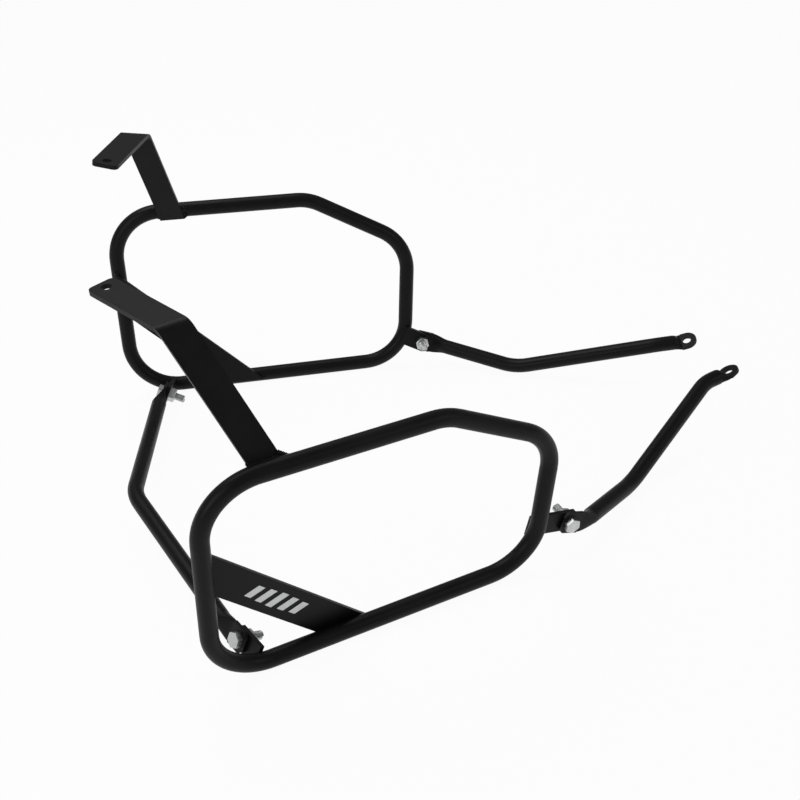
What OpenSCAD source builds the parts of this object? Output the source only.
// Pannier frame for a motorbike: two bent-tube hoops that carry the side cases, tied together
// by a rear crossbar, hung from two folded brackets and braced by two front stays.
// X is forward, Y is to the left of the bike and Z is up, in millimetres.
// The hoops stand on the ground plane. Left is written out, and right is its mirror image
// apart from the sizes that are given for each side.

/* [Tube] */
// Outer diameter of the tube of the hoops, the stays and the crossbar
tube_d = 19; // [16:0.5:22]
// Thickness of a pressed tube end, which is two tube walls
flat_t = 4; // [3:0.25:6]
// Width of a pressed tube end
flat_w = 27; // [23:0.5:30]
// Length over which a tube changes from round to flat
press_l = 24; // [16:1:34]

/* [Hoops] */
// Distance between the two hoops at their rear bottom corners
hoop_gap = 600; // [520:5:680]
// Angle by which each hoop turns in towards the front
toe = 9.8; // [5:0.1:14]
// Angle by which the top of each hoop leans out
camber = 6.3; // [0:0.1:10]
// Length of the bottom tube, corner to corner
bottom_l = 371; // [340:1:385]
// Height of the rear upright
rear_h = 246; // [225:1:270]
// Forward lean of the rear upright over its height
rear_lean = 7; // [0:0.5:14]
// Forward reach of the corner where the top tube ends
top_l = 262; // [235:1:285]
// Height of that corner
top_h = 239; // [220:1:262]
// Forward reach of the nose, where the front upright starts
nose_l = 387; // [370:1:410]
// Height of the nose
nose_h = 165; // [145:1:185]
// Centre line radius of the two rear bends
rear_bend_r = 62; // [45:1:75]
// Centre line radius of the other three bends
front_bend_r = 60; // [40:1:64]

/* [Top brackets] */
// Width of the strip
strip_w = 30.5; // [26:0.5:38]
// Thickness of the strip
strip_t = 5; // [4:0.25:7]
// Distance along the left top tube from its rear corner to the strip
left_strip_at = 78; // [75:1:110]
// Distance along the right top tube from its rear corner to the strip
right_strip_at = 75; // [75:1:110]
// Distance by which the strip runs down past its line of contact with the tube
strip_foot = 3; // [2:0.5:14]
// Inside radius of the fold
fold_r = 8; // [4:0.5:12]
// Left fold, forward of the hoops' rear corners
left_fold_x = 56; // [40:1:75]
// Right fold, forward of the hoops' rear corners
right_fold_x = 24; // [10:1:45]
// Distance of both folds from the middle plane
fold_y = 251; // [235:1:265]
// Height of both folds
fold_z = 382; // [360:1:400]
// Left hole, forward of the hoops' rear corners
left_hole_x = 12; // [-10:1:30]
// Right hole, forward of the hoops' rear corners
right_hole_x = -24; // [-40:1:0]
// Distance of both holes from the middle plane
hole_y = 161; // [145:1:180]
// Height of both holes
hole_z = 386; // [370:1:400]
// Diameter of the bracket holes
bracket_hole_d = 10.5; // [8:0.5:13]
// Distance from a bracket's hole to its free end
strip_end = 11; // [9:0.5:20]
// Radius of the corners of the free end
strip_end_r = 6; // [2:0.5:10]

/* [Gussets] */
// Distance of the gusset's upper edge from the corner, along each tube
gusset_reach = 173; // [140:1:200]
// Width of the gusset band
gusset_w = 38.5; // [30:1:50]
// Thickness of the gusset
gusset_t = 4; // [3:0.25:6]
// Distance by which the gusset runs on past the centre lines of the tubes
gusset_lap = 2; // [0:0.25:4]

/* [Tabs] */
// Thickness of the four tabs
tab_t = 5; // [4:0.25:7]
// Width of the four tabs
tab_w = 25; // [22:0.5:28]
// Size of the clipped corners of tabs and pressed ends
clip = 6; // [3:0.5:8]
// Distance from a tab's hole to its free end
tab_end = 12; // [10:0.5:15]
// Height on the front upright where the front tabs are rooted
front_root_h = 37; // [32:1:60]
// Distance by which the front tabs run on past the line of the upright
front_tab_lap = 4; // [2:0.5:8]
// Gap between an upright and its front tab, which the weld bridges
front_gap = 0.3; // [0.2:0.1:0.8]
// Distance of the left front hole ahead of the line of the upright, in the plane of the hoop
left_front_reach = 21.5; // [18:0.5:36]
// Distance of the right front hole ahead of that line
right_front_reach = 48.5; // [18:0.5:52]
// Height of the front holes above the bottom tube
front_hole_h = 25.5; // [20:0.5:32]
// Distance from the rear corner to the rear holes, along the bottom tube
rear_hole_l = 41.5; // [36:0.5:48]
// Distance of the rear holes from the plane of the hoop
rear_hole_in = 35; // [30:0.5:40]
// Height of the rear holes above the bottom tube
rear_hole_h = 5; // [3:0.5:8]

/* [Weld beads] */
// Radius of the weld beads
bead_r = 2.5; // [1.5:0.25:4]

/* [Stays] */
// Downward slope of the front ends in the plane of the hoop
front_slope = 21; // [10:1:30]
// Distance from the hole of a pressed end to its clipped end
lug_end = 12; // [10:0.5:14]
// Length of the flat from the front hole to the pressed stretch
front_flat = 14; // [12:0.5:20]
// Distance from the front hole to where the stay turns towards its knee
front_kink = 20; // [16:0.5:26]
// Left knee, forward of the left front hole
left_knee_run = 108; // [98:0.5:124]
// Right knee, forward of the right front hole
right_knee_run = 109; // [98:0.5:124]
// Distance of both knees from the middle plane
knee_y = 151; // [140:1:162]
// Height of the underside of both stays at the knee above the ground plane
knee_clear = 1; // [0.5:0.5:12]
// Centre line radius of the knee
knee_r = 80; // [50:1:110]
// Left eye, forward of the left front hole
left_eye_run = 306.5; // [285:0.5:325]
// Right eye, forward of the right front hole
right_eye_run = 291; // [280:0.5:310]
// Distance of both eyes from the middle plane
eye_y = 45; // [34:1:60]
// Height of both eyes
eye_z = 62; // [50:0.5:72]
// Diameter of the hole in an eye
eye_hole_d = 11; // [8:0.5:13]
// Diameter of an eye
eye_w = 25; // [22:0.5:28]
// Length over which a stay changes from round to its eye
eye_press_l = 12; // [8:1:18]
// Length of the flat from the eye's hole to the pressed stretch
eye_flat = 7; // [6.5:0.5:10]
// Distance from the eye's hole back to the corner of the bend before it
neck_l = 38.5; // [36:0.5:60]
// Angle in plan by which the stay heads in from straight ahead between that bend and the eye
neck_yaw = 13; // [0:1:30]
// Angle by which the stay rises there
neck_rise = 3; // [0:1:30]
// Centre line radius of that bend
neck_r = 50; // [30:1:60]
// Angle in plan by which the eye points in from straight ahead
eye_yaw = 22; // [0:1:32]
// Angle by which the eye rises towards its tip
eye_rise = 17; // [5:1:40]
// Angle by which the eye leans in about its own length
eye_roll = 17; // [0:1:25]

/* [Crossbar] */
// Rearward reach of the crossbar's bend behind the hoops' corners
bar_back = 35; // [20:1:50]
// Height of the crossbar's bend
bar_h = 44.5; // [34:0.5:60]
// Centre line radius of the crossbar's bend
bar_bend_r = 70; // [40:1:100]
// Length of the flat from the rear hole to the pressed stretch
bar_flat = 13; // [12:0.5:20]
// Angle by which the crossbar's flat ends turn forwards from its run
bar_kink = 6; // [0:1:12]
// Angle by which the rear joint leans back about the end of the crossbar
bar_roll = 24; // [0:1:35]

/* [Fasteners] */
// Thread diameter of the four bolts
bolt_d = 10; // [8:1:10]
// Diameter of the holes that the bolts pass through
bolt_hole_d = 10.6; // [10.4:0.1:11.5]
// Width across the flats of bolt heads and nuts
hex_af = 16; // [13:0.5:17]
// Height of a bolt head
head_h = 6.4; // [5:0.1:7.2]
// Height of a nut
nut_h = 8.4; // [6.5:0.1:9.5]
// Length of a bolt under its head
bolt_l = 30; // [27:1:35]

/* [Hidden] */
$fn = 64;

LEFT = 1;
RIGHT = -1;
tube_r = tube_d / 2;
coat = [0.09, 0.09, 0.095];
zinc = [0.72, 0.73, 0.74];

// Amount by which a bend is slimmer than the straights that it runs into
bend_slack = 0.05;
// Angle by which a bend runs on into the straights
bend_lap = 0.8;
// Distance by which a tube or a flat runs on into a pressed stretch
join = 0.5;
// Gap between a thread and its nut
thread_gap = 0.1;
// Share of the width across flats that is left flat on top of a chamfered hexagon
hex_top = 0.94;
// Chamfer at the end of a thread
point = 1;
// Distance by which holes are cut past both faces
past = 1;

// Sides

module on_side(side) {
    if (side == RIGHT) mirror([0, 1, 0]) children();
    else children();
}

// Sizes are counted from the hoops' rear corners, and the finished part from its own middle
module placed(side) translate([-middle_x, 0, 0]) on_side(side) children();

// Vectors

function unit(v) = v / norm(v);
function across(v, d) = v - d * (v * d);
function frame(o, x, y, z) = [
    [x[0], y[0], z[0], o[0]],
    [x[1], y[1], z[1], o[1]],
    [x[2], y[2], z[2], o[2]],
    [0, 0, 0, 1]];
// A frame at o with its Z along d and its X as near to side as it can be
function aim(o, d, side) =
    let (z = unit(d), x = unit(across(side, z)))
    frame(o, x, cross(z, x), z);

// The plane of a hoop: X along the bottom tube, Y outward and Z up in the plane

function hoop_point(l, out, h) =
    let (y = out * cos(camber) + h * sin(camber))
    [l * cos(toe) + y * sin(toe),
     hoop_gap / 2 - l * sin(toe) + y * cos(toe),
     tube_r + h * cos(camber) - out * sin(camber)];
function hoop_dir(l, out, h) = hoop_point(l, out, h) - hoop_point(0, 0, 0);
inward = hoop_dir(0, -1, 0);

module in_hoop_plane(out)
    multmatrix(frame(hoop_point(0, out, 0), hoop_dir(1, 0, 0), hoop_dir(0, 0, 1), inward))
        children();

// Tube runs: straight stretches between true circular bends

function turn(a, b, c) = acos(unit(b - a) * unit(c - b));
function cut_back(a, b, c, r) = r * tan(turn(a, b, c) / 2);

module straight(a, b)
    multmatrix(aim(a, b - a, [0.1, 1, 0.2])) cylinder(d = tube_d, h = norm(b - a));

module bend(a, b, c, r) {
    d = unit(b - a);
    to_centre = unit(across(unit(c - b), d));
    start = b - d * cut_back(a, b, c, r);
    multmatrix(frame(start + to_centre * r, -to_centre, d, cross(-to_centre, d)))
        rotate([0, 0, -bend_lap])
            rotate_extrude(angle = turn(a, b, c) + 2 * bend_lap)
                translate([r, 0]) circle(r = tube_r - bend_slack);
}

// A tube through the points p that bends at all but the first and the last
module open_run(p, r) {
    n = len(p) - 1;
    back = [0, for (i = [1:n - 1]) cut_back(p[i - 1], p[i], p[i + 1], r[i - 1]), 0];
    for (i = [0:n - 1]) {
        d = unit(p[i + 1] - p[i]);
        straight(p[i] + d * back[i], p[i + 1] - d * back[i + 1]);
        if (i > 0) bend(p[i - 1], p[i], p[i + 1], r[i - 1]);
    }
}

module closed_run(p, r) {
    n = len(p);
    back = [for (i = [0:n - 1]) cut_back(p[(i + n - 1) % n], p[i], p[(i + 1) % n], r[i])];
    for (i = [0:n - 1]) {
        a = p[i];
        b = p[(i + 1) % n];
        d = unit(b - a);
        bend(p[(i + n - 1) % n], a, b, r[i]);
        straight(a + d * back[i], b - d * back[(i + 1) % n]);
    }
}

// Pressed tube ends

ring_n = 32;
press_steps = 10;
press_slack = 0.12;
// Point k of a section that is round at s = 0, and flat and w wide at s = 1
function ring(s, k, w) =
    let (
        t = 360 * k / ring_n,
        ease = s * s * (3 - 2 * s),
        half_t = tube_r * (1 - ease) + flat_t / 2 * ease - press_slack,
        half_w = tube_r * (1 - ease) + w / 2 * ease - press_slack)
    [sign(cos(t)) * pow(abs(cos(t)), 1 - 0.75 * ease) * half_t, sin(t) * half_w];

function hermite(a, b, u, v, s) =
    a * (1 + 2 * s) * (1 - s) * (1 - s) + u * s * (1 - s) * (1 - s)
    + b * s * s * (3 - 2 * s) + v * s * s * (s - 1);
function hermite_dir(a, b, u, v, s) =
    unit((b - a) * 6 * s * (1 - s) + u * (1 - s) * (1 - 3 * s) + v * s * (3 * s - 2));

// Loft from the round tube at a, heading u, to the flat at b, heading v, w wide and facing n.
// Both ends run on by a short lap into what they join.
module pressed(a, u, b, v, n, w = flat_w) {
    l = norm(b - a);
    rings = [for (i = [-1:press_steps + 1])
        let (
            s = min(max(i / press_steps, 0), 1),
            d = hermite_dir(a, b, u * l, v * l, s),
            lap = i < 0 ? -1 : i > press_steps ? 1 : 0,
            o = hermite(a, b, u * l, v * l, s) + d * lap,
            x = unit(across(n, d)),
            y = cross(d, x))
        [for (k = [0:ring_n - 1]) let (q = ring(s, k, w)) o + x * q[0] + y * q[1]]];
    last = (len(rings) - 1) * ring_n;
    walls = [for (i = [0:len(rings) - 2], k = [0:ring_n - 1])
        let (j = (k + 1) % ring_n, r = i * ring_n)
        [r + ring_n + k, r + ring_n + j, r + j, r + k]];
    polyhedron([for (r = rings) each r], concat(walls,
        [[for (k = [0:ring_n - 1]) k], [for (k = [ring_n - 1:-1:0]) last + k]]), convexity = 4);
}

// A flat plate with its hole at the origin and two clipped corners at its free end, towards X.
// It reaches back against X and lies on Z = 0.
module lug(w, end, back, t, hole_d) {
    difference() {
        linear_extrude(t)
            polygon([[-back, -w / 2], [end - clip, -w / 2], [end, clip - w / 2],
                     [end, w / 2 - clip], [end - clip, w / 2], [-back, w / 2]]);
        translate([0, 0, -past]) cylinder(d = hole_d, h = t + 2 * past);
    }
}

// A weld bead from a to b
module bead(a, b) {
    straight_bead = norm(b - a);
    multmatrix(aim(a, b - a, [0.1, 0.2, 1])) {
        cylinder(r = bead_r, h = straight_bead);
        sphere(r = bead_r);
        translate([0, 0, straight_bead]) sphere(r = bead_r);
    }
}

// Hoops

corners = [[0, 0], [rear_lean, rear_h], [top_l, top_h], [nose_l, nose_h], [bottom_l, 0]];

module hoop_tube()
    closed_run([for (c = corners) hoop_point(c[0], 0, c[1])],
        [rear_bend_r, rear_bend_r, front_bend_r, front_bend_r, front_bend_r]);

module hoop(side) color(coat) placed(side) hoop_tube();

module left_hoop() hoop(LEFT);
module right_hoop() hoop(RIGHT);

// Top brackets: a strip that lies against the lower inner side of the top tube, rises from it
// and is folded inwards along a slanting line

// Flat stretch of the strip along X, its ends at a and b slanted by the given tangents
module strip(a, slant_a, b, slant_b)
    translate([0, 0, -strip_t / 2]) linear_extrude(strip_t)
        polygon([[a - strip_w / 2 * slant_a, -strip_w / 2],
                 [b - strip_w / 2 * slant_b, -strip_w / 2],
                 [b + strip_w / 2 * slant_b, strip_w / 2],
                 [a + strip_w / 2 * slant_a, strip_w / 2]]);

// Flat stretch of the strip from a to its free end at b, with two rounded corners
module strip_tip(a, slant_a, b) {
    strip(a, slant_a, b - strip_end_r, 0);
    translate([b - strip_end_r - past, strip_end_r - strip_w / 2, -strip_t / 2])
        cube([strip_end_r + past, strip_w - 2 * strip_end_r, strip_t]);
    for (s = [-1, 1])
        translate([b - strip_end_r, s * (strip_w / 2 - strip_end_r), -strip_t / 2])
            cylinder(r = strip_end_r, h = strip_t);
}

fold_steps = 14;
fold_slack = 0.02;
fold_lap = 0.5;
// The folded stretch: slices round the fold line f, from outer face n to outer face m,
// sliding along f as a slanting strip does
module fold(vertex, f, n, m, slant) {
    angle = acos(n * m);
    r = fold_r + strip_t / 2;
    centre = vertex - unit(n + m) * (r / cos(angle / 2));
    slide = r * tan(angle / 2) * tan(slant);
    half_t = strip_t / 2 - fold_slack;
    half_w = strip_w / 2 / cos(slant) - fold_slack;
    slices = [for (i = [-1:fold_steps + 1])
        let (
            k = min(max(i / fold_steps, 0), 1),
            out = (n * sin(angle * (1 - k)) + m * sin(angle * k)) / sin(angle),
            lap = i < 0 ? -fold_lap : i > fold_steps ? fold_lap : 0,
            o = centre + cross(out, f) * lap + f * (slide * (2 * k - 1) + lap * tan(slant)))
        [for (q = [[-1, -1], [1, -1], [1, 1], [-1, 1]])
            o + out * (r + q[0] * half_t) + f * q[1] * half_w]];
    last = 4 * (len(slices) - 1);
    walls = [for (b = [0:4:last - 4], k = [0:3])
        let (j = (k + 1) % 4)
        [b + 4 + k, b + 4 + j, b + j, b + k]];
    polyhedron([for (slice = slices) each slice],
        concat(walls, [[0, 1, 2, 3], [for (k = [3:-1:0]) last + k]]), convexity = 4);
}

// Where a bracket lies: its fold, its hole, and the directions of its two flat stretches
function bracket(fold_x, hole_x, strip_at) =
    let (
        vertex = [fold_x, fold_y, fold_z],
        hole = [hole_x, hole_y, hole_z],
        corner = hoop_point(rear_lean, 0, rear_h),
        tube = unit(hoop_dir(top_l - rear_lean, 0, top_h - rear_h)),
        // The strip's middle plane holds the fold and passes the tube at this distance
        touch = tube_r + strip_t / 2,
        up = across(vertex - corner, tube),
        lean = asin(touch / norm(up)),
        n = unit(up) * sin(lean) + cross(tube, unit(up)) * cos(lean),
        foot = corner + tube * strip_at + n * touch,
        leg = unit(vertex - foot),
        axis = unit(hole - vertex),
        // A straight strip makes the same angle with the fold line on both sides of it
        f = unit(cross(n, leg - axis)))
    [vertex, hole, foot, tube, n, leg, unit(cross(axis, f)), axis, f];

module top_bracket(side, fold_x, hole_x, strip_at) {
    at = bracket(fold_x, hole_x, strip_at);
    vertex = at[0];
    hole = at[1];
    foot = at[2];
    n = at[4];
    leg = at[5];
    m = at[6];
    axis = at[7];
    slant = asin(at[8] * leg);
    foot_slant = (at[3] * leg) / (at[3] * cross(n, leg));
    back = (fold_r + strip_t / 2) * tan(acos(n * m) / 2) / cos(slant);
    color(coat) placed(side) difference() {
        union() {
            multmatrix(frame(foot, leg, cross(n, leg), n))
                strip(-strip_foot, foot_slant, norm(vertex - foot) - back, tan(slant));
            fold(vertex, at[8], -n, -m, slant);
            multmatrix(frame(vertex, axis, cross(m, axis), m))
                strip_tip(back, tan(slant), norm(hole - vertex) + strip_end);
        }
        multmatrix(frame(hole, axis, cross(m, axis), m)) translate([0, 0, -strip_t / 2 - past])
            cylinder(d = bracket_hole_d, h = strip_t + 2 * past);
    }
}

module left_top_bracket() top_bracket(LEFT, left_fold_x, left_hole_x, left_strip_at);
module right_top_bracket() top_bracket(RIGHT, right_fold_x, right_hole_x, right_strip_at);

// Gussets: a band across the rear bottom corner, flat against the inner side of both tubes

lean_rate = rear_lean / rear_h;
// Point of the upright edge on the line along which the two reaches from the corner add up to r
function gusset_top(r) =
    let (h = (r + gusset_lap) / (1 + lean_rate))
    [r - h, h];

module gusset(side) color(coat) placed(side) {
    low = gusset_reach - gusset_w * sqrt(2);
    difference() {
        union() {
            in_hoop_plane(-tube_r) linear_extrude(gusset_t)
                polygon([[low + gusset_lap, -gusset_lap],
                         [gusset_reach + gusset_lap, -gusset_lap],
                         gusset_top(gusset_reach), gusset_top(low)]);
            bead(hoop_point(low + gusset_lap, -tube_r, -gusset_lap),
                hoop_point(gusset_reach + gusset_lap, -tube_r, -gusset_lap));
            bead(hoop_point(gusset_top(low)[0], -tube_r, gusset_top(low)[1]),
                hoop_point(gusset_top(gusset_reach)[0], -tube_r, gusset_top(gusset_reach)[1]));
        }
        hoop_tube();
    }
}

module left_gusset() gusset(LEFT);
module right_gusset() gusset(RIGHT);

// Rear joints: the crossbar's end lies against a tab inside each hoop

bar_mid = [-bar_back, 0, bar_h];
rear_hole = hoop_point(rear_hole_l, -rear_hole_in, rear_hole_h);
// The joint's width and the direction in which its flat heads, turned from the line to the bend
bar_line = unit(rear_hole - bar_mid);
bar_level = unit(cross(bar_line, [0, 0, 1]));
rear_width = cross(bar_level, bar_line) * cos(bar_roll) + bar_level * sin(bar_roll);
rear_out = bar_line * cos(bar_kink) + cross(bar_line, rear_width) * sin(bar_kink);
bar_flat_end = rear_hole - rear_out * bar_flat;
bar_corner = bar_flat_end - rear_out * press_l / 2;
bar_dir = unit(bar_corner - bar_mid);

// X runs outwards along the crossbar's end, and Z forwards along the bolt from head to nut.
// Z = 0 is the middle of the flat.
module rear_joint()
    multmatrix(frame(rear_hole, rear_out, rear_width, cross(rear_out, rear_width))) children();

module rear_tab(side) color(coat) placed(side) difference() {
    rear_joint() translate([0, 0, flat_t / 2]) rotate(180)
        lug(tab_w, tab_end, rear_hole_in - tube_r / 2, tab_t, bolt_hole_d);
    hoop_tube();
}

module left_rear_tab() rear_tab(LEFT);
module right_rear_tab() rear_tab(RIGHT);

bar_end = bar_corner - bar_dir * press_l / 2;
module crossbar_end() {
    rear_joint() translate([0, 0, -flat_t / 2])
        lug(flat_w, lug_end, bar_flat + join, flat_t, bolt_hole_d);
    pressed(bar_end, bar_dir, bar_flat_end, rear_out, cross(rear_out, rear_width));
}

module rear_crossbar() color(coat) placed(LEFT) {
    end = bar_end + bar_dir * join;
    open_run([end, bar_mid, [end[0], -end[1], end[2]]], [bar_bend_r]);
    for (side = [LEFT, RIGHT]) on_side(side) crossbar_end();
}

// Front joints: the stay's end lies against a tab inside each front upright

front_line = bottom_l + (nose_l - bottom_l) * front_hole_h / nose_h;
left_front_l = front_line + left_front_reach;
right_front_l = front_line + right_front_reach;
function front_hole(l) = hoop_point(l, flat_t / 2 - tube_r - front_gap, front_hole_h);
front_dir = hoop_dir(cos(front_slope), 0, -sin(front_slope));

// X runs forwards along the stay's end, and Z inwards along the bolt from head to nut.
// Z = 0 is the middle of the flat.
module front_joint(l)
    multmatrix(frame(front_hole(l), front_dir, cross(inward, front_dir), inward)) children();

module front_tab(side, l) color(coat) placed(side) {
    root = [bottom_l + (nose_l - bottom_l) * front_root_h / nose_h, front_root_h];
    d = unit([l, front_hole_h] - root);
    back = root - d * front_tab_lap;
    half = [-d[1], d[0]] * (tab_w / 2 - bead_r);
    difference() {
        union() {
            in_hoop_plane(-tube_r - front_gap) translate([l, front_hole_h])
                rotate(atan2(d[1], d[0]))
                lug(tab_w, tab_end, norm([l, front_hole_h] - back), tab_t, bolt_hole_d);
            bead(hoop_point(back[0] + half[0], -tube_r - front_gap, back[1] + half[1]),
                hoop_point(back[0] - half[0], -tube_r - front_gap, back[1] - half[1]));
        }
        hoop_tube();
    }
}

module left_front_tab() front_tab(LEFT, left_front_l);
module right_front_tab() front_tab(RIGHT, right_front_l);

// Stays: from the front joint to the knee, up to the neck and on to the eye

function heading(yaw, rise) = [cos(rise) * cos(yaw), -cos(rise) * sin(yaw), sin(rise)];
neck_dir = heading(neck_yaw, neck_rise);
eye_dir = heading(eye_yaw, eye_rise);
eye_level = unit(cross([0, 0, 1], eye_dir));
eye_width = eye_level * cos(eye_roll) + cross(eye_dir, eye_level) * sin(eye_roll);
eye_up = cross(eye_dir, eye_width);

module stay(side, hole_l, knee_run, eye_run) {
    hole = front_hole(hole_l);
    kink = hole + front_dir * front_kink;
    knee = [hole[0] + knee_run, knee_y, tube_r + knee_clear];
    eye = [hole[0] + eye_run, eye_y, eye_z];
    neck = eye - neck_dir * neck_l;
    eye_end = eye - eye_dir * eye_flat;
    lower = unit(knee - kink);
    lower_end = kink + lower * (press_l - front_kink + front_flat);
    upper_end = neck + neck_dir * (neck_l - eye_flat - eye_press_l);
    color(coat) placed(side) {
        front_joint(hole_l) translate([0, 0, -flat_t / 2]) rotate(180)
            lug(flat_w, lug_end, front_flat + join, flat_t, bolt_hole_d);
        pressed(lower_end, -lower, hole + front_dir * front_flat, -front_dir, inward);
        open_run([lower_end - lower * join, knee, neck, upper_end + neck_dir * join],
            [knee_r, neck_r]);
        pressed(upper_end, neck_dir, eye_end, eye_dir, eye_up, eye_w);
        multmatrix(frame(eye - eye_up * flat_t / 2, eye_dir, eye_width, eye_up)) difference() {
            union() {
                cylinder(d = eye_w, h = flat_t);
                translate([-eye_flat - join, -eye_w / 2, 0])
                    cube([eye_flat + join, eye_w, flat_t]);
            }
            translate([0, 0, -past]) cylinder(d = eye_hole_d, h = flat_t + 2 * past);
        }
    }
}

module left_stay() stay(LEFT, left_front_l, left_knee_run, left_eye_run);
module right_stay() stay(RIGHT, right_front_l, right_knee_run, right_eye_run);

// Fasteners

// A hexagon with its top corners turned off
module hexagon(h) intersection() {
    cylinder(d = hex_af / cos(30), h = h, $fn = 6);
    cylinder(d1 = hex_af * hex_top + 2 * h / tan(30), d2 = hex_af * hex_top, h = h);
}

// Head below Z = 0, shank above it
module bolt() color(zinc) {
    mirror([0, 0, 1]) hexagon(head_h);
    translate([0, 0, -head_h / 2]) cylinder(d = bolt_d, h = bolt_l - point + head_h / 2);
    translate([0, 0, bolt_l - point]) cylinder(d1 = bolt_d, d2 = bolt_d - 2 * point, h = point);
}

module nut() color(zinc) difference() {
    hexagon(nut_h);
    translate([0, 0, -past]) cylinder(d = bolt_d + 2 * thread_gap, h = nut_h + 2 * past);
}

module rear_bolt(side) placed(side) rear_joint() translate([0, 0, -flat_t / 2]) bolt();
module rear_nut(side) placed(side) rear_joint() translate([0, 0, flat_t / 2 + tab_t]) nut();
module front_bolt(side, l) placed(side) front_joint(l) translate([0, 0, -flat_t / 2]) bolt();
module front_nut(side, l) placed(side) front_joint(l) translate([0, 0, flat_t / 2 + tab_t]) nut();

module left_rear_bolt() rear_bolt(LEFT);
module right_rear_bolt() rear_bolt(RIGHT);
module left_front_bolt() front_bolt(LEFT, left_front_l);
module right_front_bolt() front_bolt(RIGHT, right_front_l);
module left_rear_nut() rear_nut(LEFT);
module right_rear_nut() rear_nut(RIGHT);
module left_front_nut() front_nut(LEFT, left_front_l);
module right_front_nut() front_nut(RIGHT, right_front_l);

// The middle of the length, from the rearmost of the crossbar and the right bracket to the right eye

// Half the length along X of a disc of radius r and thickness t that faces n
function disc_reach(r, t, n) = r * sqrt(1 - n[0] * n[0]) + t / 2 * abs(n[0]);

tip = bracket(right_fold_x, right_hole_x, right_strip_at);
tip_x = tip[1][0] + tip[7][0] * (strip_end - strip_end_r)
    - abs(cross(tip[6], tip[7])[0]) * (strip_w / 2 - strip_end_r)
    - disc_reach(strip_end_r, strip_t, tip[6]);
bar_apex = bar_bend_r / (bar_dir * [0, 1, 0]) - bar_bend_r;
bar_x = bar_mid[0] + unit(across(bar_dir, [0, 1, 0]))[0] * bar_apex - tube_r + bend_slack;
eye_x = front_hole(right_front_l)[0] + right_eye_run + disc_reach(eye_w / 2, flat_t, eye_up);
middle_x = round(10 * (min(tip_x, bar_x) + eye_x) / 2) / 10;

left_hoop();
right_hoop();
left_top_bracket();
right_top_bracket();
left_gusset();
right_gusset();
left_rear_tab();
right_rear_tab();
left_front_tab();
right_front_tab();
left_stay();
right_stay();
rear_crossbar();
left_rear_bolt();
right_rear_bolt();
left_front_bolt();
right_front_bolt();
left_rear_nut();
right_rear_nut();
left_front_nut();
right_front_nut();
